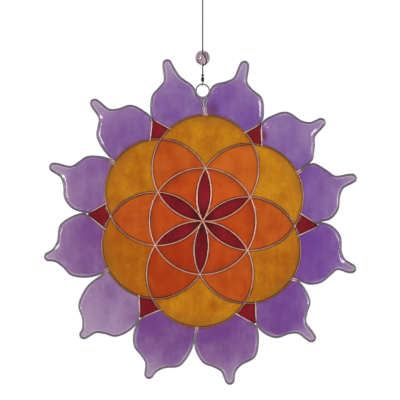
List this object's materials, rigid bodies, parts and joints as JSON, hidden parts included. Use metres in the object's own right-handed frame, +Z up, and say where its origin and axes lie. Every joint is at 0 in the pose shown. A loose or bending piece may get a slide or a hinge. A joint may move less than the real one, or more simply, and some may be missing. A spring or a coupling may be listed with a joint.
{
  "type": "stained glass suncatcher",
  "caption": "Flat flower of coloured see-through panes in a bent-wire frame, hung in a window by a thin cord with a glass bead.",
  "frame": {"origin": "inside the top of the cord's loop, where a hook carries it", "axes": "+Z up along the cord, the flower's face towards -Y, +X to the right of someone facing it"},
  "size_m": [0.2165, 0.0106, 0.3012],
  "materials": {
    "wire": "dull tinned wire",
    "seed_glass": "glossy, tinted through, see-through",
    "orange_glass": "glossy, tinted through, see-through",
    "yellow_glass": "glossy, tinted through, see-through",
    "red_glass": "glossy, tinted through, see-through",
    "purple_glass": "glossy, tinted through, see-through",
    "bead_glass": "glossy, tinted through, see-through",
    "cord": "waxed dark cord"
  },
  "bodies": {
    "root": {"rosette_frame": "wire", "hanging_eye": "wire", "hanging_cord": "cord", "bead": "bead_glass", "seed_petal_1": "seed_glass", "seed_petal_2": "seed_glass", "seed_petal_3": "seed_glass", "seed_petal_4": "seed_glass", "seed_petal_5": "seed_glass", "seed_petal_6": "seed_glass", "inner_orange_1": "orange_glass", "inner_orange_2": "orange_glass", "inner_orange_3": "orange_glass", "inner_orange_4": "orange_glass", "inner_orange_5": "orange_glass", "inner_orange_6": "orange_glass", "outer_orange_1": "orange_glass", "outer_orange_2": "orange_glass", "outer_orange_3": "orange_glass", "outer_orange_4": "orange_glass", "outer_orange_5": "orange_glass", "outer_orange_6": "orange_glass", "yellow_lobe_1": "yellow_glass", "yellow_lobe_2": "yellow_glass", "yellow_lobe_3": "yellow_glass", "yellow_lobe_4": "yellow_glass", "yellow_lobe_5": "yellow_glass", "yellow_lobe_6": "yellow_glass", "red_kite_1": "red_glass", "red_kite_2": "red_glass", "red_kite_3": "red_glass", "red_kite_4": "red_glass", "red_kite_5": "red_glass", "red_kite_6": "red_glass", "purple_petal_1": "purple_glass", "purple_petal_2": "purple_glass", "purple_petal_3": "purple_glass", "purple_petal_4": "purple_glass", "purple_petal_5": "purple_glass", "purple_petal_6": "purple_glass", "purple_petal_7": "purple_glass", "purple_petal_8": "purple_glass", "purple_petal_9": "purple_glass", "purple_petal_10": "purple_glass", "purple_petal_11": "purple_glass", "purple_petal_12": "purple_glass", "petal_wire_1": "wire", "petal_wire_2": "wire", "petal_wire_3": "wire", "petal_wire_4": "wire", "petal_wire_5": "wire", "petal_wire_6": "wire", "petal_wire_7": "wire", "petal_wire_8": "wire", "petal_wire_9": "wire", "petal_wire_10": "wire", "petal_wire_11": "wire", "petal_wire_12": "wire"}
  },
  "joints": []
}
